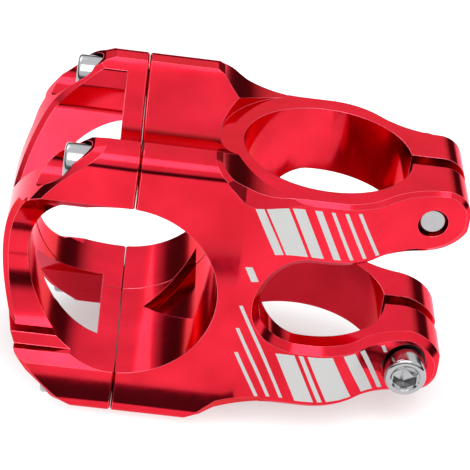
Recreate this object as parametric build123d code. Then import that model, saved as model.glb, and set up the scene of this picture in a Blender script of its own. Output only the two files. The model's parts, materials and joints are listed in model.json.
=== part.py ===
from build123d import *
import math
import os

# Bicycle handlebar stem, 32 mm reach, for a 28.6 mm steerer tube and a 31.8 mm handlebar.
# X points forward to the handlebar, Y to the rider's left, Z up along the steerer tube.
# The origin is on the steerer axis, level with the handlebar axis.  All sizes are in mm.

# Main sizes
REACH = 32.0               # steerer axis to handlebar axis
STACK = 40.0               # height over the two steerer rings
STEERER_BORE_R = 14.3      # bore for a 28.6 mm steerer tube
BAR_BORE_R = 15.9          # bore for a 31.8 mm handlebar
CLAMP_W = 40.6             # width of the handlebar clamp
CLAMP_H = 50.2             # height over the bolt ears

# Steerer end of the body
RING_W = 37.0              # width across the rings beside the bore
TAIL_W = 20.8              # width across the pinch bolt flats
TAIL_X = -24.1             # rear face
TAIL_CORNER_R = 4.5        # outer corner of each ring at the rear
WAIST_R = 12.5             # rounding of the ring side towards the tail
WAIST_CENTRE_X = -1.0      # where that rounding starts
SIDE_RISE_FROM = 4.0       # the side swells from here ...
SIDE_RISE_TO = 13.5        # ... to here, up to the clamp width
WINDOW_H = 16.2            # opening between the rings
WINDOW_END_X = 9.1         # front of its round end
WINDOW_FLARE_X = -17.6     # the opening widens from here to the rear
WINDOW_FLARE_Z = 12.5      # half height of the opening at the rear face
SLOT_W = 3.0               # rear slot through both rings
SPOT_FACE_R = 18.4         # flat seat for headset spacers, round the bore
EDGE_CHAMFER = 0.7         # broken outer edges of the ring tops
WINDOW_CHAMFER = 1.2       # wider bevel round the opening

# Handlebar end of the body
EAR_FLAT_IN = 14.5         # flat top of an ear runs from here ...
EAR_FLAT_OUT = 17.0        # ... to here in Y
SHOULDER_R = 3.3           # round from the ear top to its side
VALLEY_FLOOR_Z = 20.3      # lowest line of the hollow between the ears
EAR_REAR_X = 18.7          # rear end of the flat ear top
RAMP_TOE_X = 7.0           # hollow ramp from the ear top down to the ring top ends here
BEVEL_FALL = 1.6           # outer bevel beside the ramp: fall per mm outwards
BEVEL_RISE = 1.0           # its rise per mm forwards, up the ear
BEVEL_FOOT = (13.9, 19.3)  # X and Z of a point of that bevel on the clamp side
BAND_RISE = 0.43           # lower band of the bevel, along the ring
BAND_FOOT = (12.6, 18.75)
BAND_END_X = 2.5           # the band tapers into the ring chamfer here
BORE_RELIEF = 0.1          # both bores stand clear of the tube in the middle
BAR_RELIEF_HALF_W = 6.0
POCKET_DEPTH = 2.0         # relief pockets in the rear wall of the bar bore
POCKET_HALF_W = 11.5
POCKET_ANGLE = 54.0        # direction of the pocket from the rear, about the bar axis
POCKET_SPAN = 10.4         # base to apex

# Faceplate
SPLIT_X = 31.2             # front face of the body
SPLIT_GAP = 0.1            # clamping gap
SPLIT_CHAMFER = 0.3        # broken edges along the split
FACE_R = 29.2              # outer curve of the faceplate, seen from the side
FACE_FRONT_WALL = 4.3      # wall in front of the handlebar
FACE_WAIST_HALF = 9.2      # half width level with the bar axis
FACE_WAIST_R = 16.2
LEDGE_1_Z = 12.7           # steps between waist and ears
LEDGE_2_Z = 14.3
FACE_WINDOW_BACK = 3.5     # the hollows between the ears start this far in front of the split
HOLLOW_FLOOR_Z = 6.0       # bottom of the V-shaped hollows
HOLLOW_FLOOR_R = 1.5
FACE_CHAMFER = 1.0
HOLLOW_CHAMFER = 0.8

# Bolts and washers
BOLT_R = 2.5               # M5
HEAD_R = 3.6
HEAD_H = 4.8
HEAD_ROUND = 0.7
SOCKET_AF = 4.0            # hexagon across flats
SOCKET_DEPTH = 2.6
WASHER_R = 3.8
WASHER_T = 0.5
FACE_BOLT_Y = 15.75
FACE_BOLT_Z = 20.2
FACE_BOLT_LENGTH = 18.0
FACE_SEAT_DEPTH = 6.8      # thickness of faceplate under the washer
FACE_TAP_DEPTH = 13.0      # tapped holes in the body
PINCH_BOLT_X = -18.0
PINCH_BOLT_Z = 14.15
PINCH_BOLT_LENGTH = 20.0
PINCH_SEAT_Y = 9.7         # floor of the pinch bolt spot faces

# Fits, all radial
THREAD_FIT = 0.05          # bolt in its tapped hole
HOLE_FIT = 0.25            # bolt in its clearance hole
WASHER_FIT = 0.08          # washer on the bolt
SEAT_FIT = 0.3             # counterbore round the bolt head

RING_TOP = STACK / 2
EAR_TOP = CLAMP_H / 2
CLAMP_HALF = CLAMP_W / 2
RING_HALF = RING_W / 2
TAIL_HALF = TAIL_W / 2
WINDOW_HALF = WINDOW_H / 2
FACE_BACK_X = SPLIT_X + SPLIT_GAP
FACE_FRONT_X = REACH + BAR_BORE_R + FACE_FRONT_WALL
FACE_CENTRE_X = FACE_FRONT_X - FACE_R
FACE_SEAT_X = FACE_BACK_X + FACE_SEAT_DEPTH
SEAT_R = WASHER_R + SEAT_FIT


def closed(edges):
    """Face inside an outline and its mirror image in the first local axis."""
    half = Curve() + edges
    return make_face((half + mirror(half, about=Plane.XZ)).edges())


def cylinder_on(plane, radius, length):
    """Cylinder that starts on a plane and follows its normal."""
    return extrude(plane * Circle(radius), amount=length)


def side_profile():
    """Body seen from the side, without the window between the rings."""
    corner = TAIL_X + TAIL_CORNER_R
    return closed([
        Line((SPLIT_X, 0), (SPLIT_X, EAR_TOP)),
        Line((SPLIT_X, EAR_TOP), (EAR_REAR_X, EAR_TOP)),
        TangentArc((RAMP_TOE_X, RING_TOP), (EAR_REAR_X, EAR_TOP), tangent=(1, 0)),
        Line((RAMP_TOE_X, RING_TOP), (corner, RING_TOP)),
        TangentArc((corner, RING_TOP), (TAIL_X, RING_TOP - TAIL_CORNER_R), tangent=(-1, 0)),
        Line((TAIL_X, RING_TOP - TAIL_CORNER_R), (TAIL_X, 0)),
    ])


def plan_profile():
    """Body seen from above."""
    round_y = RING_HALF - WAIST_R
    hollow_r = 14.0
    hollow_y = TAIL_HALF + hollow_r
    span = WAIST_R + hollow_r
    dy = hollow_y - round_y
    dx = math.sqrt(span ** 2 - dy ** 2)
    share = WAIST_R / span
    meet = (WAIST_CENTRE_X - dx * share, round_y + dy * share)
    tail_in = (WAIST_CENTRE_X - dx, TAIL_HALF)
    mid = ((SIDE_RISE_FROM + SIDE_RISE_TO) / 2, (RING_HALF + CLAMP_HALF) / 2)
    return closed([
        Line((TAIL_X, 0), (TAIL_X, TAIL_HALF)),
        Line((TAIL_X, TAIL_HALF), tail_in),
        TangentArc(tail_in, meet, tangent=(1, 0)),
        TangentArc((WAIST_CENTRE_X, RING_HALF), meet, tangent=(-1, 0)),
        Line((WAIST_CENTRE_X, RING_HALF), (SIDE_RISE_FROM, RING_HALF)),
        TangentArc((SIDE_RISE_FROM, RING_HALF), mid, tangent=(1, 0)),
        TangentArc((SIDE_RISE_TO, CLAMP_HALF), mid, tangent=(-1, 0)),
        Line((SIDE_RISE_TO, CLAMP_HALF), (FACE_FRONT_X + 2, CLAMP_HALF)),
        Line((FACE_FRONT_X + 2, CLAMP_HALF), (FACE_FRONT_X + 2, 0)),
    ])


def clamp_section():
    """Cross-section of the handlebar clamp: four ears with a hollow between them."""
    top = Curve() + [
        ThreePointArc((-EAR_FLAT_IN, EAR_TOP), (0, VALLEY_FLOOR_Z), (EAR_FLAT_IN, EAR_TOP)),
        Line((EAR_FLAT_IN, EAR_TOP), (EAR_FLAT_OUT, EAR_TOP)),
        Line((-EAR_FLAT_IN, EAR_TOP), (-EAR_FLAT_OUT, EAR_TOP)),
        TangentArc((EAR_FLAT_OUT, EAR_TOP), (CLAMP_HALF, EAR_TOP - SHOULDER_R), tangent=(1, 0)),
        TangentArc((-EAR_FLAT_OUT, EAR_TOP), (-CLAMP_HALF, EAR_TOP - SHOULDER_R), tangent=(-1, 0)),
        Line((CLAMP_HALF, EAR_TOP - SHOULDER_R), (CLAMP_HALF, 0)),
        Line((-CLAMP_HALF, EAR_TOP - SHOULDER_R), (-CLAMP_HALF, 0)),
    ]
    return make_face((top + mirror(top, about=Plane.XZ)).edges())


def window_profile():
    """Opening between the two steerer rings, with a round front end and a flared rear."""
    centre_x = WINDOW_END_X - WINDOW_HALF
    flare_mid = ((WINDOW_FLARE_X + TAIL_X) / 2 - 0.9, (WINDOW_HALF + WINDOW_FLARE_Z) / 2 - 0.6)
    out = TAIL_X - 5
    return closed([
        ThreePointArc((WINDOW_END_X, 0), (centre_x + WINDOW_HALF * math.sqrt(0.5),
                      WINDOW_HALF * math.sqrt(0.5)), (centre_x, WINDOW_HALF)),
        Line((centre_x, WINDOW_HALF), (WINDOW_FLARE_X, WINDOW_HALF)),
        ThreePointArc((WINDOW_FLARE_X, WINDOW_HALF), flare_mid, (TAIL_X, WINDOW_FLARE_Z)),
        Line((TAIL_X, WINDOW_FLARE_Z), (out, WINDOW_FLARE_Z + 4)),
        Line((out, WINDOW_FLARE_Z + 4), (out, 0)),
    ])


def half_space(origin, normal):
    """Large block that lies on a plane, on the side its normal points to."""
    return Plane(origin=origin, z_dir=normal) * Pos(0, 0, 40) * Box(80, 80, 80)


def ear_bevel(side, level):
    """Cutter for the bevel outside one ear ramp; side is +1 or -1 in Y, level in Z."""
    up_ear = half_space((BEVEL_FOOT[0], side * CLAMP_HALF, BEVEL_FOOT[1]),
                        (-BEVEL_RISE, side * BEVEL_FALL, 1))
    band = half_space((BAND_FOOT[0], side * CLAMP_HALF, BAND_FOOT[1]),
                      (-BAND_RISE, side * BEVEL_FALL, 1))
    taper = half_space((BAND_END_X, side * RING_HALF, RING_TOP - EDGE_CHAMFER),
                       (0.044, side * BEVEL_FALL, 1))
    cutter = up_ear & band & taper
    return cutter if level > 0 else mirror(cutter, about=Plane.XY)


def pocket(level):
    """Shallow triangular relief in the rear wall of the bar bore."""
    turn = math.radians(POCKET_ANGLE)
    out = Vector(-math.cos(turn), 0, level * math.sin(turn))
    along = Vector(math.sin(turn), 0, level * math.cos(turn))
    face = Plane(origin=(REACH, 0, 0), x_dir=along, z_dir=out)
    half = POCKET_SPAN / 2
    wedge = extrude(face * make_face(Polyline((-half, -POCKET_HALF_W), (-half, POCKET_HALF_W),
                    (half, 0), (-half, -POCKET_HALF_W))), amount=BAR_BORE_R + 2 * POCKET_DEPTH)
    tube = extrude(Plane.XZ * Pos(REACH, 0) * Circle(BAR_BORE_R + POCKET_DEPTH), amount=30, both=True)
    return wedge & tube


def is_side_edge(edge):
    """Edges on the sides of the body, apart from upright corners."""
    upright = edge.geom_type == GeomType.LINE and abs(edge.tangent_at(0).Z) > 0.9
    return abs(edge.center().Y) > TAIL_HALF - 0.5 and not upright


def is_ring_edge(edge):
    """Outer edges of the ring tops."""
    c = edge.center()
    return is_side_edge(edge) and abs(abs(c.Z) - RING_TOP) < 0.01 and c.X < SIDE_RISE_TO


def is_window_edge(edge):
    """Edges of the opening between the rings."""
    c = edge.center()
    return is_side_edge(edge) and abs(c.Z) < WINDOW_FLARE_Z - 1 and c.X < WINDOW_END_X + 1


def make_body():
    """Body machined from one block: steerer rings, web and the rear half of the bar clamp."""
    body = extrude(Plane.XZ * side_profile(), amount=CLAMP_HALF + 5, both=True)
    body &= extrude(plan_profile(), amount=EAR_TOP + 5, both=True)
    body &= extrude(Plane.YZ * clamp_section(), amount=80, both=True)
    body -= extrude(Plane.XZ * window_profile(), amount=CLAMP_HALF + 5, both=True)
    body = chamfer(body.edges().filter_by(is_ring_edge), EDGE_CHAMFER)
    body = chamfer(body.edges().filter_by(is_window_edge), WINDOW_CHAMFER)
    for level in (1, -1):
        for side in (1, -1):
            body -= ear_bevel(side, level)
        seat = Plane.XY.offset(RING_TOP) if level > 0 else -Plane.XY.offset(-RING_TOP)
        body -= cylinder_on(seat, SPOT_FACE_R, 10)
        body -= pocket(level)
    body -= Cylinder(STEERER_BORE_R, STACK + 20)
    body -= Cylinder(STEERER_BORE_R + BORE_RELIEF, WINDOW_H)
    body -= bar_bore()
    body = chamfer(body.edges().filter_by(is_split_edge(SPLIT_X)), SPLIT_CHAMFER)
    body -= Pos(TAIL_X, 0, 0) * Box(-2 * (TAIL_X + 10), SLOT_W, STACK + 10)
    for side in (1, -1):
        for level in (1, -1):
            axis = Plane(origin=(SPLIT_X, side * FACE_BOLT_Y, level * FACE_BOLT_Z), z_dir=(-1, 0, 0))
            body -= cylinder_on(axis, BOLT_R + THREAD_FIT, FACE_TAP_DEPTH)
            body -= cylinder_on(axis, BOLT_R + 0.4, 0.5)
    for side in (1, -1):
        head_out = Vector(0, side, 0)
        z = -side * PINCH_BOLT_Z
        seat = Plane(origin=(PINCH_BOLT_X, side * PINCH_SEAT_Y, z), z_dir=head_out)
        body -= cylinder_on(seat, SEAT_R, 10)
        body -= cylinder_on(-seat, BOLT_R + HOLE_FIT, PINCH_SEAT_Y)
        tapped = Plane(origin=(PINCH_BOLT_X, 0, z), z_dir=-head_out)
        body -= cylinder_on(tapped, BOLT_R + THREAD_FIT, TAIL_HALF + 3)
    return body


def bar_bore():
    """Bore for the handlebar, right through the clamp."""
    bore = Plane.XZ * Pos(REACH, 0) * Circle(BAR_BORE_R)
    relief = Plane.XZ * Pos(REACH, 0) * Circle(BAR_BORE_R + BORE_RELIEF)
    return extrude(bore, amount=CLAMP_HALF + 5, both=True) + extrude(
        relief, amount=BAR_RELIEF_HALF_W, both=True)


def waist_profile():
    """Faceplate half section across X, narrow at bar height and stepped out to the ears."""
    centre_y = FACE_WAIST_HALF + FACE_WAIST_R
    knee_z = LEDGE_1_Z - 0.6
    knee_y = centre_y - math.sqrt(FACE_WAIST_R ** 2 - knee_z ** 2)
    return closed_sides([
        ThreePointArc((FACE_WAIST_HALF, 0), (centre_y - math.sqrt(FACE_WAIST_R ** 2 - 49), 7),
                      (knee_y, knee_z)),
        Line((knee_y, knee_z), (knee_y + 1.4, LEDGE_1_Z)),
        Line((knee_y + 1.4, LEDGE_1_Z), (knee_y + 2.5, LEDGE_2_Z)),
        Line((knee_y + 2.5, LEDGE_2_Z), (CLAMP_HALF - 1.6, LEDGE_2_Z)),
        Line((CLAMP_HALF - 1.6, LEDGE_2_Z), (CLAMP_HALF + 0.4, LEDGE_2_Z + 2)),
        Line((CLAMP_HALF + 0.4, LEDGE_2_Z + 2), (CLAMP_HALF + 0.4, EAR_TOP + 5)),
        Line((CLAMP_HALF + 0.4, EAR_TOP + 5), (0, EAR_TOP + 5)),
    ])


def closed_sides(edges):
    """Face inside a quarter outline mirrored in both local axes."""
    quarter = Curve() + edges
    half = quarter + mirror(quarter, about=Plane.XZ)
    return make_face((half + mirror(half, about=Plane.YZ)).edges())


def face_profile():
    """Faceplate seen from the side: flat ear tops and one large front curve."""
    corner_x = FACE_CENTRE_X + math.sqrt(FACE_R ** 2 - EAR_TOP ** 2)
    turn = math.pi / 8
    mid = (FACE_CENTRE_X + FACE_R * math.cos(turn), FACE_R * math.sin(turn))
    return closed([
        Line((FACE_BACK_X, 0), (FACE_BACK_X, EAR_TOP)),
        Line((FACE_BACK_X, EAR_TOP), (corner_x, EAR_TOP)),
        ThreePointArc((corner_x, EAR_TOP), mid, (FACE_FRONT_X, 0)),
    ])


def face_hollow(level):
    """V-shaped hollow along X between two ears; it opens a triangular window into the bore."""
    side = [(0, HOLLOW_FLOOR_Z), (10.4, 16.6), (10.9, 20.6), (12.4, 23.6), (13.2, EAR_TOP + 4)]
    outline = side + [(-y, z) for y, z in reversed(side[1:])] + [side[0]]
    face = make_face(Polyline(*outline))
    inner = face.vertices().filter_by(lambda v: v.Y < EAR_TOP)
    start = Plane.YZ.offset(FACE_BACK_X + FACE_WINDOW_BACK)
    cutter = extrude(start * fillet(inner, HOLLOW_FLOOR_R), amount=40)
    return cutter if level > 0 else mirror(cutter, about=Plane.XY)


def front_edges(face, near, far):
    """Edges of the faceplate's large outer curve between two distances from the mid-plane."""
    def test(edge):
        ends = [edge @ t for t in (0, 0.5, 1)]
        on_curve = all(abs(math.hypot(p.X - FACE_CENTRE_X, p.Z) - FACE_R) < 0.05 for p in ends)
        c = edge.center()
        waist = abs(c.Z) < 1
        inside = near < abs(c.Y) < far and (not waist or near > 8)
        return on_curve and edge.length > 3 and abs(c.Z) < EAR_TOP - 0.5 and inside
    return face.edges().filter_by(test)


def waist_edges(face):
    """The two front edges level with the handlebar axis."""
    return [edge for edge in front_edges(face, 8.1, 12) if abs(edge.center().Z) < 1]


def is_split_edge(x):
    """Test for the outer edges of a split face at x."""
    def test(edge):
        c = edge.center()
        flat = all(abs((edge @ t).X - x) < 0.01 for t in (0, 0.5, 1))
        return flat and (abs(c.Y) > CLAMP_HALF - 0.1 or abs(c.Z) > VALLEY_FLOOR_Z - 0.5)
    return test


def make_faceplate():
    """Front half of the bar clamp, waisted at the sides and hollowed above and below."""
    face = extrude(Plane.XZ * face_profile(), amount=CLAMP_HALF + 5, both=True)
    face &= extrude(Plane.YZ * clamp_section(), amount=80, both=True)
    face &= extrude(Plane.YZ * waist_profile(), amount=80, both=True)
    for level in (1, -1):
        face -= face_hollow(level)
    face = chamfer(waist_edges(face), FACE_CHAMFER)
    face = chamfer(front_edges(face, CLAMP_HALF - 1.3, CLAMP_HALF + 1), FACE_CHAMFER)
    face = chamfer(front_edges(face, 0, 12.5), HOLLOW_CHAMFER)
    face -= bar_bore()
    face = chamfer(face.edges().filter_by(is_split_edge(FACE_BACK_X)), SPLIT_CHAMFER)
    for side in (1, -1):
        for level in (1, -1):
            seat = Plane(origin=(FACE_SEAT_X, side * FACE_BOLT_Y, level * FACE_BOLT_Z), z_dir=(1, 0, 0))
            face -= cylinder_on(seat, SEAT_R, 20)
            face -= cylinder_on(-seat, BOLT_R + HOLE_FIT, 20)
    return face


def make_bolt(seat, length):
    """Socket head cap screw; seat is the plane under its head, facing the head."""
    bolt = cylinder_on(seat, HEAD_R, HEAD_H)
    top = bolt.faces().sort_by(Axis(seat.origin, seat.z_dir))[-1]
    bolt = fillet(top.edges(), HEAD_ROUND)
    top_plane = seat.offset(HEAD_H)
    across_corners = SOCKET_AF / math.cos(math.pi / 6)
    bolt -= extrude(top_plane * RegularPolygon(across_corners / 2, 6), amount=-SOCKET_DEPTH)
    bolt -= extrude(top_plane * Circle(across_corners / 2), amount=-0.5, taper=45)
    shank = cylinder_on(-seat, BOLT_R, length)
    tip = shank.faces().sort_by(Axis(seat.origin, seat.z_dir))[0]
    return bolt + chamfer(tip.edges(), 0.5)


def make_washer(seat):
    """Plain washer lying on a seat plane."""
    ring = cylinder_on(seat, WASHER_R, WASHER_T)
    return ring - cylinder_on(seat, BOLT_R + WASHER_FIT, WASHER_T)


def make_parts():
    parts = {"body": make_body(), "faceplate": make_faceplate()}
    for side, side_name in ((1, "left"), (-1, "right")):
        for level, level_name in ((1, "upper"), (-1, "lower")):
            seat = Plane(origin=(FACE_SEAT_X, side * FACE_BOLT_Y, level * FACE_BOLT_Z),
                         x_dir=(0, 1, 0), z_dir=(1, 0, 0))
            name = f"{level_name}_{side_name}"
            parts["faceplate_washer_" + name] = make_washer(seat)
            parts["faceplate_bolt_" + name] = make_bolt(seat.offset(WASHER_T), FACE_BOLT_LENGTH)
    for side, name in ((-1, "upper"), (1, "lower")):
        seat = Plane(origin=(PINCH_BOLT_X, side * PINCH_SEAT_Y, -side * PINCH_BOLT_Z),
                     x_dir=(1, 0, 0), z_dir=(0, side, 0))
        parts["pinch_washer_" + name] = make_washer(seat)
        parts["pinch_bolt_" + name] = make_bolt(seat.offset(WASHER_T), PINCH_BOLT_LENGTH)
    return parts


os.makedirs("parts", exist_ok=True)
for part_name, solid in make_parts().items():
    solid.label = part_name
    export_step(solid, f"parts/{part_name}.step")
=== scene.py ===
import bpy
import bmesh
import json
import math
from mathutils import Matrix, Vector

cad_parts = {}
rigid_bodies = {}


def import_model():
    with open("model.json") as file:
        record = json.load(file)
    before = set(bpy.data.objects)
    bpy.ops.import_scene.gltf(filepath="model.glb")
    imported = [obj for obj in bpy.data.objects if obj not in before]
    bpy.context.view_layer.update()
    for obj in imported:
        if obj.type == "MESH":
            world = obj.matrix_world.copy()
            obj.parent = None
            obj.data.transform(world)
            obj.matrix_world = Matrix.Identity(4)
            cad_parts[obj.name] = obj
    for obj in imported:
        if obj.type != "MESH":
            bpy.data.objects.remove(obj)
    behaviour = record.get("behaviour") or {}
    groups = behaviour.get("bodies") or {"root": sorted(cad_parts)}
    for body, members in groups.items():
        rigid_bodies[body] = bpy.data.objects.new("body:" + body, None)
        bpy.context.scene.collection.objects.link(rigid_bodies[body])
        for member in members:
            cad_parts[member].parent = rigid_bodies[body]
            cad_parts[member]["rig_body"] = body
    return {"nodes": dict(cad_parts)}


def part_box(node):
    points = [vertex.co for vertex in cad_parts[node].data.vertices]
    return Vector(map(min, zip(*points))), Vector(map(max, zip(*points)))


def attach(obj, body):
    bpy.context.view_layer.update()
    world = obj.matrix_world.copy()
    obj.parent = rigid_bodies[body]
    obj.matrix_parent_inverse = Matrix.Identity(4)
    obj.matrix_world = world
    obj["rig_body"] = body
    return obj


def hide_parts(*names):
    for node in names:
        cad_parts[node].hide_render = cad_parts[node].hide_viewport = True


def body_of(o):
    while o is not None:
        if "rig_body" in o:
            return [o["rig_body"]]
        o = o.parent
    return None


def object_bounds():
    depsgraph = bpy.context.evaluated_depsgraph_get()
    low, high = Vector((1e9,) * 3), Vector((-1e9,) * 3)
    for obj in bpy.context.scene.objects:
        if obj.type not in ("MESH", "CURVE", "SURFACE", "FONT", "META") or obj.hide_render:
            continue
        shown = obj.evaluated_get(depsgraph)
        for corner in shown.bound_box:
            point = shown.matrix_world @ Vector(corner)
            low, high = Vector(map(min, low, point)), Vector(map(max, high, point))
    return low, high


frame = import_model()
CAD_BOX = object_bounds()
NODES = frame["nodes"]
BODY_OF = {name: body_of(obj)[0] for name, obj in NODES.items()}
scene = bpy.context.scene
scene.view_settings.view_transform = "Standard"

# ---------------------------------------------------------------- sizes, in metres
MM = 0.001

# Screws
PITCH = 0.8 * MM
HEAD_R = 3.6 * MM
HEAD_H = 4.8 * MM
HEAD_ROUND = 0.7 * MM
HEAD_FOOT_CHAMFER = 0.15 * MM
SOCKET_HALF = 2.0 * MM
SOCKET_DEPTH = 2.6 * MM
SOCKET_CONE = 0.7 * MM         # drill point below the hexagon
COUNTERSINK = 0.3 * MM
COUNTERSINK_STEP = 0.05 * MM   # from the round countersink to the hexagon
THREAD_R = 2.5 * MM
THREAD_DEPTH = 0.45 * MM
TIP_CHAMFER = 0.5 * MM
NECK = 1.0 * MM                # plain shank under the head
RUN_OUT = 1.2 * MM             # the thread ends this far under the head
RINGS_PER_PITCH = 6
SEGMENTS = 36

# Split of the bar clamp, where the two halves meet
SPLIT_X = 31.25 * MM
SPLIT_HALF = 0.12 * MM

# Etched bars
MARK_PROUD = 0.04 * MM
MARK_SUNK = 0.05 * MM
MARK_ROWS = 20
MARK_COLUMN = 0.6              # widest column of a bar's mesh, in mm

# Table, and the two black cards on it
TABLE_HALF = 3.0
TABLE_GAP = 0.5 * MM           # table under the lowest point
CARD_GAP = 0.3 * MM
SHADE_CENTRE = (14.0 * MM, -4.0 * MM)
SHADE_HALF = (60.0 * MM, 24.0 * MM)
NEAR_CARD = (6.0 * MM, 56.0 * MM, 23.5 * MM, 31.0 * MM)
FAR_CARD = (6.0 * MM, 54.0 * MM, 70.0 * MM, 77.0 * MM)

# Side of the body, seen from above, all in mm: tail, hollow, ring and the swell up to the clamp
TAIL_HALF = 10.4
HOLLOW_X = -20.07
HOLLOW_R = 14.0
HOLLOW_END_X = -10.0
RING_HALF = 18.5
RING_X = -1.0
RING_R = 12.5
SWELL_FROM = 4.0
SWELL_TO = 13.5
SWELL_R = 12.98
CLAMP_HALF = 20.3


# ---------------------------------------------------------------- node helpers
def new_material(name):
    mat = bpy.data.materials.new(name)
    mat.use_nodes = True
    nt = mat.node_tree
    return mat, nt, nt.nodes["Principled BSDF"]


def object_coords(nt, scale=(1, 1, 1), location=(0, 0, 0)):
    """Coordinates in the shared frame, in metres, stretched by scale."""
    tex = nt.nodes.new("ShaderNodeTexCoord")
    m = nt.nodes.new("ShaderNodeMapping")
    m.inputs["Scale"].default_value = scale
    m.inputs["Location"].default_value = location
    nt.links.new(tex.outputs["Object"], m.inputs["Vector"])
    return m.outputs["Vector"]


def noise(nt, vector, scale, detail=3.0, rough=0.5):
    n = nt.nodes.new("ShaderNodeTexNoise")
    n.inputs["Scale"].default_value = scale
    n.inputs["Detail"].default_value = detail
    n.inputs["Roughness"].default_value = rough
    nt.links.new(vector, n.inputs["Vector"])
    return n.outputs["Fac"]


def remap(nt, value, low, high):
    """Noise, which mostly lies between 0.3 and 0.7, stretched over low to high."""
    r = nt.nodes.new("ShaderNodeMapRange")
    r.inputs["From Min"].default_value = 0.3
    r.inputs["From Max"].default_value = 0.7
    r.inputs["To Min"].default_value = low
    r.inputs["To Max"].default_value = high
    nt.links.new(value, r.inputs["Value"])
    return r.outputs["Result"]


def bump(nt, height, distance, strength, normal=None):
    node = nt.nodes.new("ShaderNodeBump")
    node.inputs["Distance"].default_value = distance
    node.inputs["Strength"].default_value = strength
    nt.links.new(height, node.inputs["Height"])
    if normal is not None:
        nt.links.new(normal, node.inputs["Normal"])
    return node.outputs["Normal"]


def mix_colour(nt, factor, a, b):
    m = nt.nodes.new("ShaderNodeMix")
    m.data_type = "RGBA"
    for socket, colour in (("A", a), ("B", b)):
        if isinstance(colour, tuple):
            m.inputs[socket].default_value = (*colour, 1)
        else:
            nt.links.new(colour, m.inputs[socket])
    nt.links.new(factor, m.inputs["Factor"])
    return m.outputs["Result"]


# ---------------------------------------------------------------- materials
def soft_edges(nt, radius):
    """Normals that turn over each machined edge, so that it catches a thin line of light."""
    node = nt.nodes.new("ShaderNodeBevel")
    node.samples = 6
    node.inputs["Radius"].default_value = radius
    return node.outputs["Normal"]


def painted_edge_highlight(nt, edges):
    """1 on the sharp edges, where a painted highlight lightens the dye."""
    geometry = nt.nodes.new("ShaderNodeNewGeometry")
    dot = nt.nodes.new("ShaderNodeVectorMath")
    dot.operation = "DOT_PRODUCT"
    nt.links.new(edges, dot.inputs[0])
    nt.links.new(geometry.outputs["Normal"], dot.inputs[1])
    r = nt.nodes.new("ShaderNodeMapRange")
    r.inputs["From Min"].default_value = 0.995
    r.inputs["From Max"].default_value = 0.93
    nt.links.new(dot.outputs["Value"], r.inputs["Value"])
    return r.outputs["Result"]


def painted_split_shade(nt):
    """1 between the split faces of the bar clamp, where a dark line of painted shade sits in the gap."""
    sep = nt.nodes.new("ShaderNodeSeparateXYZ")
    nt.links.new(object_coords(nt), sep.inputs["Vector"])
    near = nt.nodes.new("ShaderNodeMath")
    near.operation = "COMPARE"
    near.inputs[1].default_value = SPLIT_X
    near.inputs[2].default_value = SPLIT_HALF
    nt.links.new(sep.outputs["X"], near.inputs[0])
    return near.outputs["Value"]


def anodised(name, deep, bright):
    """Dyed aluminium under a clear oxide: fine milling marks and a slight unevenness in the dye."""
    mat, nt, bsdf = new_material(name)
    cloud = noise(nt, object_coords(nt), 90.0, 2.0)
    dye = mix_colour(nt, remap(nt, cloud, 0.0, 1.0), deep, bright)
    edges = soft_edges(nt, 0.00016)
    # Painted highlight: the base colour turns a lighter, pinker red along the sharp edges.
    dye_with_edge_highlight = mix_colour(nt, painted_edge_highlight(nt, edges), dye, (0.93, 0.16, 0.22))
    # Painted shade: the base colour turns near black in the split gap of the bar clamp.
    nt.links.new(mix_colour(nt, painted_split_shade(nt), dye_with_edge_highlight, (0.03, 0.001, 0.002)), bsdf.inputs["Base Color"])
    marks = noise(nt, object_coords(nt, scale=(1, 14, 1)), 420.0, 4.0, 0.6)
    nt.links.new(remap(nt, marks, 0.11, 0.17), bsdf.inputs["Roughness"])
    fine = noise(nt, object_coords(nt, scale=(12, 1, 1)), 700.0, 3.0, 0.6)
    first = bump(nt, marks, 0.000004, 0.4, edges)
    nt.links.new(bump(nt, fine, 0.000004, 0.35, first), bsdf.inputs["Normal"])
    bsdf.inputs["Metallic"].default_value = 1.0
    bsdf.inputs["Specular Tint"].default_value = (1.0, 0.34, 0.42, 1)
    bsdf.inputs["Coat Weight"].default_value = 0.2
    bsdf.inputs["Coat Roughness"].default_value = 0.06
    return mat


def polished_steel(name, tint, rough_low, rough_high):
    """Plated screw: turned marks and small differences in gloss."""
    mat, nt, bsdf = new_material(name)
    spots = noise(nt, object_coords(nt), 900.0, 3.0)
    nt.links.new(remap(nt, spots, rough_low, rough_high), bsdf.inputs["Roughness"])
    nt.links.new(mix_colour(nt, spots, tint, tuple(c * 0.9 for c in tint)), bsdf.inputs["Base Color"])
    turned = noise(nt, object_coords(nt, scale=(4, 4, 1)), 1500.0, 2.0)
    nt.links.new(bump(nt, turned, 0.000003, 0.3, soft_edges(nt, 0.00012)), bsdf.inputs["Normal"])
    bsdf.inputs["Metallic"].default_value = 1.0
    return mat


def etched(name):
    """Laser-etched mark: the bare, slightly matt metal under the dye."""
    mat, nt, bsdf = new_material(name)
    grain = noise(nt, object_coords(nt), 2600.0, 3.0)
    nt.links.new(mix_colour(nt, grain, (0.50, 0.50, 0.50), (0.58, 0.58, 0.57)), bsdf.inputs["Base Color"])
    nt.links.new(remap(nt, grain, 0.5, 0.65), bsdf.inputs["Roughness"])
    nt.links.new(bump(nt, grain, 0.000004, 0.4), bsdf.inputs["Normal"])
    bsdf.inputs["Metallic"].default_value = 0.1
    return mat


RED = anodised("anodised_red", (0.54, 0.005, 0.018), (0.72, 0.012, 0.034))
CHROME = polished_steel("plated_screw", (0.40, 0.40, 0.41), 0.10, 0.20)
WASHER = polished_steel("washer_metal", (0.035, 0.035, 0.036), 0.25, 0.38)
ETCH = etched("etched_mark")

for name, obj in NODES.items():
    mat = CHROME if "bolt" in name else WASHER if "washer" in name else RED
    obj.data.materials.clear()
    obj.data.materials.append(mat)


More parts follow.
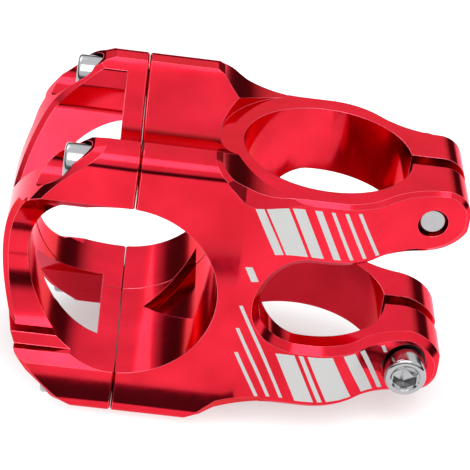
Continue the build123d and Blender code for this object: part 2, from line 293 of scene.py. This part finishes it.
# ---------------------------------------------------------------- screws with real threads
def hexagon(angle):
    """Distance from the socket's axis to its wall in one direction."""
    half_side = math.pi / 6
    return SOCKET_HALF / math.cos((angle + half_side) % (2 * half_side) - half_side)


def thread_depth(turn):
    """Depth of the thread below its crest at a share of one pitch."""
    share = abs((turn % 1.0) * 2 - 1)
    return THREAD_DEPTH * min(max((share - 0.12) / 0.76, 0.0), 1.0)


def screw_rings(length):
    """Outline of a socket head cap screw from its tip to the floor of the socket, ring by ring.

    Each ring is a height over the underside of the head and a radius for every direction."""
    def plain(radius):
        return lambda angle, z: radius

    def threaded(angle, z):
        run_in = min((z + length) / TIP_CHAMFER, (-RUN_OUT - z) / TIP_CHAMFER, 1.0)
        depth = thread_depth(z / PITCH - angle / (2 * math.pi)) * max(run_in, 0.0)
        return THREAD_R - depth - max(TIP_CHAMFER - (z + length), 0.0)

    rings = [(-length, plain(THREAD_R - TIP_CHAMFER))]
    step = PITCH / RINGS_PER_PITCH
    count = int((length - RUN_OUT) / step)
    rings += [(-length + (i + 0.5) * step, threaded) for i in range(count)]
    rings += [(-NECK, plain(THREAD_R)), (0.0, plain(THREAD_R))]
    rings += [(0.0, plain(HEAD_R - HEAD_FOOT_CHAMFER)), (HEAD_FOOT_CHAMFER, plain(HEAD_R))]
    for i in range(6):
        turn = math.pi / 2 * i / 5
        rings.append((HEAD_H - HEAD_ROUND * (1 - math.sin(turn)),
                      plain(HEAD_R - HEAD_ROUND * (1 - math.cos(turn)))))
    mouth = SOCKET_HALF / math.cos(math.pi / 6)
    rings.append((HEAD_H, plain(mouth + COUNTERSINK)))
    rings.append((HEAD_H - COUNTERSINK, plain(mouth)))
    rings.append((HEAD_H - COUNTERSINK - COUNTERSINK_STEP, lambda angle, z: hexagon(angle)))
    rings.append((HEAD_H - SOCKET_DEPTH, lambda angle, z: hexagon(angle)))
    return rings


def make_screw(node, length, to_frame):
    """Closed mesh of one screw, put in place of a CAD node by a matrix from its own frame."""
    bm = bmesh.new()
    loops = []
    for z, radius in screw_rings(length):
        loop = []
        for i in range(SEGMENTS):
            angle = 2 * math.pi * i / SEGMENTS
            r = radius(angle, z)
            point = Vector((r * math.cos(angle), r * math.sin(angle), z))
            loop.append(bm.verts.new(to_frame @ point))
        loops.append(loop)
    for low, high in zip(loops, loops[1:]):
        for i in range(SEGMENTS):
            j = (i + 1) % SEGMENTS
            bm.faces.new((low[i], low[j], high[j], high[i]))
    tip = bm.verts.new(to_frame @ Vector((0, 0, -length)))
    floor = bm.verts.new(to_frame @ Vector((0, 0, HEAD_H - SOCKET_DEPTH - SOCKET_CONE)))
    for i in range(SEGMENTS):
        j = (i + 1) % SEGMENTS
        bm.faces.new((loops[0][j], loops[0][i], tip))
        bm.faces.new((loops[-1][i], loops[-1][j], floor))
    bmesh.ops.recalc_face_normals(bm, faces=bm.faces)
    mesh = bpy.data.meshes.new("screw_" + node)
    bm.to_mesh(mesh)
    bm.free()
    mesh.polygons.foreach_set("use_smooth", [True] * len(mesh.polygons))
    mesh.set_sharp_from_angle(angle=math.radians(32))
    mesh.materials.append(CHROME)
    obj = bpy.data.objects.new("screw_" + node, mesh)
    scene.collection.objects.link(obj)
    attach(obj, BODY_OF[node])
    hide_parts(node)


def screw_frame(node, axis, length):
    """Frame of a screw: origin under its head, Z out of the head, worked out from the node's box."""
    low, high = (Vector(p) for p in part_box(node))
    middle = (low + high) / 2
    sign = 1 if sum(axis) > 0 else -1
    end = high if sign > 0 else low
    index = max(range(3), key=lambda i: abs(axis[i]))
    middle[index] = end[index] - sign * HEAD_H
    turn = axis.to_track_quat("Z", "Y").to_matrix().to_4x4()
    return Matrix.Translation(middle) @ turn


SCREW_AXES = {"faceplate_bolt": (Vector((1, 0, 0)), 18.0 * MM),
              "pinch_bolt_upper": (Vector((0, -1, 0)), 20.0 * MM),
              "pinch_bolt_lower": (Vector((0, 1, 0)), 20.0 * MM)}
for name in [n for n in NODES if "bolt" in n]:
    for start, (axis, length) in SCREW_AXES.items():
        if name.startswith(start):
            make_screw(name, length, screw_frame(name, axis, length))


# ---------------------------------------------------------------- etched bars on the sides
def side_y(x):
    """Half width of the body at x, both in mm: tail, hollow, ring and the swell, all arcs and lines."""
    swell_mid = (SWELL_FROM + SWELL_TO) / 2
    if x < HOLLOW_X:
        return TAIL_HALF
    if x < HOLLOW_END_X:
        return TAIL_HALF + HOLLOW_R - math.sqrt(HOLLOW_R ** 2 - (x - HOLLOW_X) ** 2)
    if x < RING_X:
        return RING_HALF - RING_R + math.sqrt(RING_R ** 2 - (x - RING_X) ** 2)
    if x < SWELL_FROM:
        return RING_HALF
    if x < swell_mid:
        return RING_HALF + SWELL_R - math.sqrt(SWELL_R ** 2 - (x - SWELL_FROM) ** 2)
    if x < SWELL_TO:
        return CLAMP_HALF - SWELL_R + math.sqrt(SWELL_R ** 2 - (x - SWELL_TO) ** 2)
    return CLAMP_HALF


def add_bar(bm, side, front_x, width, top, bottom):
    """One slanted bar on one side of the body, as a thin closed plate that follows the side's curve."""
    columns = max(3, math.ceil(width / MARK_COLUMN))
    skins = []
    for offset in (MARK_PROUD, -MARK_SUNK):
        grid = []
        for i in range(MARK_ROWS + 1):
            z = top + (bottom - top) * i / MARK_ROWS
            front = front_x - LEAN * (top - z)
            line = []
            for j in range(columns + 1):
                x = front - width * j / columns
                y = side * (side_y(x) * MM + offset)
                line.append(bm.verts.new((x * MM, y, z * MM)))
            grid.append(line)
        skins.append(grid)
    outer, inner = skins
    for i in range(MARK_ROWS):
        for j in range(columns):
            for g in skins:
                bm.faces.new((g[i][j], g[i + 1][j], g[i + 1][j + 1], g[i][j + 1]))
        for j in (0, columns):
            bm.faces.new((outer[i][j], outer[i + 1][j], inner[i + 1][j], inner[i][j]))
    for j in range(columns):
        for i in (0, MARK_ROWS):
            bm.faces.new((outer[i][j], outer[i][j + 1], inner[i][j + 1], inner[i][j]))


# Plain bars, in mm.  LEAN is how far a bar's x drops for each mm that it goes down.
# Ring and foot bars are (front x at the top, width); web bars are (front x at the top, top z).
LEAN = 0.5
WEB_BAR_W = 0.6
RING_BARS = [(12.2, 1.4), (10.4, 3.6), (6.2, 2.0), (2.6, 1.2), (-0.1, 0.6), (-2.3, 0.6), (-4.5, 0.6)]
FOOT_BARS = [(5.0, 3.2), (1.1, 0.8), (-0.4, 4.3), (-6.6, 2.0), (-9.5, 0.8)]
WEB_BARS = [(12.0, -9.1), (12.4, -4.3), (12.4, 0.1)]
# Front x at the top, width, top z and bottom z
SINGLE_BARS = [(12.4, 1.2, 7.6, 4.8), (-13.3, 0.6, -9.9, -11.4)]


def bar_list():
    """Front x at the top, width, top and bottom of every bar, in millimetres."""
    bars = [(x, width, 18.6, 9.8) for x, width in RING_BARS]
    bars += [(x, width, -9.6, -18.7) for x, width in FOOT_BARS]
    bars += [(x, WEB_BAR_W, top, -18.4) for x, top in WEB_BARS]
    return bars + SINGLE_BARS


def make_bars():
    """Plain slanted bars on both sides of the rings and web."""
    bm = bmesh.new()
    for side in (1, -1):
        for bar in bar_list():
            add_bar(bm, side, *bar)
    bmesh.ops.recalc_face_normals(bm, faces=bm.faces)
    mesh = bpy.data.meshes.new("etched_bars")
    bm.to_mesh(mesh)
    bm.free()
    mesh.materials.append(ETCH)
    obj = bpy.data.objects.new("etched_bars", mesh)
    scene.collection.objects.link(obj)
    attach(obj, "stem_body")


make_bars()


# ---------------------------------------------------------------- floor, world, lights, camera
def painted_shadow_below(nt):
    """Emission of the table, with a painted shadow: dim right under the object, where little light
    reaches.
    """
    tex = nt.nodes.new("ShaderNodeTexGradient")
    tex.gradient_type = "SPHERICAL"
    scale = [1 / half for half in SHADE_HALF]
    shift = [-centre * k for centre, k in zip(SHADE_CENTRE, scale)]
    vector = object_coords(nt, scale=(*scale, 0), location=(*shift, 0))
    nt.links.new(vector, tex.inputs["Vector"])
    glow_with_painted_shadow = nt.nodes.new("ShaderNodeMapRange")
    glow_with_painted_shadow.inputs["From Min"].default_value = 0.0
    glow_with_painted_shadow.inputs["From Max"].default_value = 0.55
    glow_with_painted_shadow.inputs["To Min"].default_value = 0.82
    glow_with_painted_shadow.inputs["To Max"].default_value = 0.40
    nt.links.new(tex.outputs["Fac"], glow_with_painted_shadow.inputs["Value"])
    return glow_with_painted_shadow.outputs["Result"]


def flat_sheet(name, x_low, x_high, y_low, y_high, z, mat):
    """Level rectangle that is part of the stage."""
    mesh = bpy.data.meshes.new(name)
    corners = [(x_low, y_low), (x_high, y_low), (x_high, y_high), (x_low, y_high)]
    mesh.from_pydata([(x, y, z) for x, y in corners], [], [(0, 1, 2, 3)])
    mesh.materials.append(mat)
    obj = bpy.data.objects.new(name, mesh)
    scene.collection.objects.link(obj)
    return obj


def make_floor():
    """White table, lit from within as well as by the lamps, with a painted shadow under the object."""
    mat, nt, bsdf = new_material("floor_white")
    bsdf.inputs["Base Color"].default_value = (0.38, 0.38, 0.38, 1)
    bsdf.inputs["Roughness"].default_value = 0.9
    bsdf.inputs["Emission Color"].default_value = (1, 1, 1, 1)
    # Painted shadow: the table's emission is dimmer right under the object.
    nt.links.new(painted_shadow_below(nt), bsdf.inputs["Emission Strength"])
    s = TABLE_HALF
    flat_sheet("floor", -s, s, -s, s, CAD_BOX[0][2] - TABLE_GAP, mat)


def make_card(name, edges):
    """Black card on the table, out of the picture: it puts a dark band on the polished sides."""
    mat, nt, bsdf = new_material(name + "_black")
    bsdf.inputs["Base Color"].default_value = (0.01, 0.01, 0.01, 1)
    card = flat_sheet(name, *edges, CAD_BOX[0][2] - CARD_GAP, mat)
    card.visible_camera = False
    card.visible_shadow = False
    card.visible_diffuse = False


def area_light(name, location, size, energy):
    """Soft box that faces the origin; size is its width and depth in metres."""
    data = bpy.data.lights.new(name, "AREA")
    data.shape = "RECTANGLE"
    data.size, data.size_y = size
    data.energy = energy
    obj = bpy.data.objects.new(name, data)
    obj.location = location
    obj.rotation_euler = (-Vector(location)).to_track_quat("-Z", "Y").to_euler()
    scene.collection.objects.link(obj)


def make_world():
    """Studio walls by height: grey below, a dark band at the horizon, bright above."""
    world = bpy.data.worlds.new("studio")
    world.use_nodes = True
    scene.world = world
    nt = world.node_tree
    back = nt.nodes["Background"]
    tex = nt.nodes.new("ShaderNodeTexCoord")
    sep = nt.nodes.new("ShaderNodeSeparateXYZ")
    ramp = nt.nodes.new("ShaderNodeValToRGB")
    nt.links.new(tex.outputs["Generated"], sep.inputs["Vector"])
    nt.links.new(sep.outputs["Z"], ramp.inputs["Fac"])
    stops = ramp.color_ramp.elements
    stops[0].color = (0.30, 0.30, 0.30, 1)
    stops[1].color = (1.0, 1.0, 1.0, 1)
    for height, grey in ((0.06, 0.04), (0.27, 0.05), (0.43, 0.88)):
        stops.new(height).color = (grey, grey, grey, 1)
    nt.links.new(ramp.outputs["Color"], back.inputs["Color"])
    back.inputs["Strength"].default_value = 1.3


def make_camera():
    """Long lens to the left of the stem, looking down at its side."""
    data = bpy.data.cameras.new("camera")
    cam = bpy.data.objects.new("camera", data)
    scene.collection.objects.link(cam)
    right = Vector((-0.991, -0.002, 0.134)).normalized()
    ahead = Vector((-0.068, -0.856, -0.512)).normalized()
    up = right.cross(ahead).normalized()
    right = ahead.cross(up).normalized()
    place = Vector((0.0370, 0.3206, 0.1929))
    rot = Matrix((right, up, -ahead)).transposed().to_4x4()
    cam.matrix_world = Matrix.Translation(place) @ rot
    data.sensor_width = 36.0
    data.lens = 167.4
    data.shift_x = -0.022
    data.shift_y = 0.004
    data.clip_start = 0.01
    data.dof.use_dof = False
    scene.camera = cam


make_floor()
make_card("near_flag", NEAR_CARD)
make_card("far_flag", FAR_CARD)
make_world()
area_light("overhead", (0.05, 0.30, 0.75), (0.7, 0.5), 3.6)
area_light("rim", (0.35, -0.45, 0.45), (0.4, 0.4), 0.9)
make_camera()
